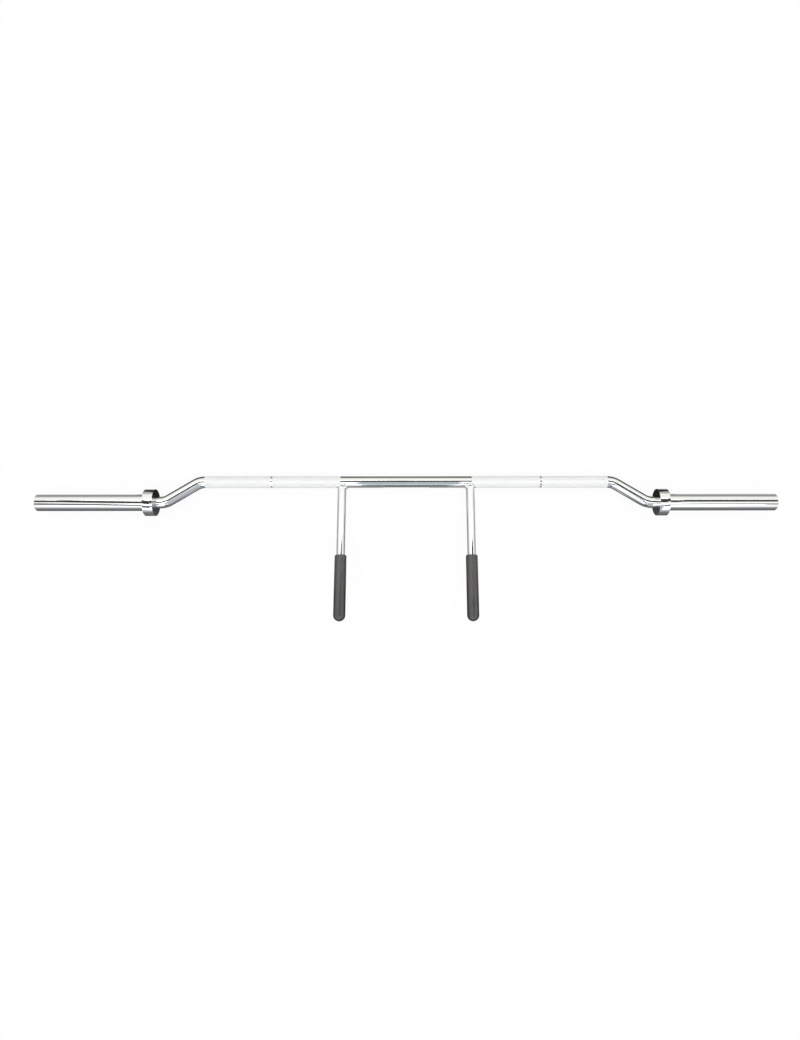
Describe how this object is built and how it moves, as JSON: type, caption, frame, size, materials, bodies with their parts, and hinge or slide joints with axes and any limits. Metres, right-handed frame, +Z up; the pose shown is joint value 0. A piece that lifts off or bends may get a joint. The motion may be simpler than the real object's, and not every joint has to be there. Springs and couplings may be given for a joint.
{
  "type": "safety squat bar",
  "caption": "Cranked steel squat bar with offset spinning sleeves, thick collars and a pair of forward handles with black rubber grips.",
  "frame": {"origin": "centre of the bounding box on the ground plane, with the bar lying as it comes to rest on its two collars and the underside of its shaft", "axes": "+X along the shaft and the sleeves, towards the right sleeve; -Y the way the handles point; +Z up"},
  "size_m": [2.21, 0.4117, 0.1764],
  "materials": {
    "chrome": "mirror-polished chrome plate",
    "satin_chrome": "chrome plate, polished in the middle and on the bends, knurled outside the handles",
    "grip_rubber": "matt dark grey rubber with a fine texture",
    "bronze": "turned bearing bronze",
    "spring_steel": "blackened spring steel",
    "black_plastic": "satin moulded plastic"
  },
  "bodies": {
    "bar": {"shaft": "satin_chrome", "left_handle": "chrome", "right_handle": "chrome", "left_grip": "grip_rubber", "right_grip": "grip_rubber", "left_inner_thrust_washer": "spring_steel", "right_inner_thrust_washer": "spring_steel", "left_outer_thrust_washer": "spring_steel", "right_outer_thrust_washer": "spring_steel", "left_retaining_ring": "spring_steel", "right_retaining_ring": "spring_steel"},
    "left_rotating_sleeve": {"left_sleeve": "chrome", "left_collar": "chrome", "left_inner_bush": "bronze", "left_outer_bush": "bronze", "left_end_cap": "black_plastic", "left_cap_ring": "spring_steel"},
    "right_rotating_sleeve": {"right_sleeve": "chrome", "right_collar": "chrome", "right_inner_bush": "bronze", "right_outer_bush": "bronze", "right_end_cap": "black_plastic", "right_cap_ring": "spring_steel"}
  },
  "joints": [
    {"name": "left_sleeve_spin", "type": "hinge", "parent": "bar", "child": "left_rotating_sleeve", "pos_m": [-0.75, 0.12849, 0.04], "axis": [1, 0, 0], "continuous": true},
    {"name": "right_sleeve_spin", "type": "hinge", "parent": "bar", "child": "right_rotating_sleeve", "pos_m": [0.75, 0.12849, 0.04], "axis": [1, 0, 0], "continuous": true}
  ]
}
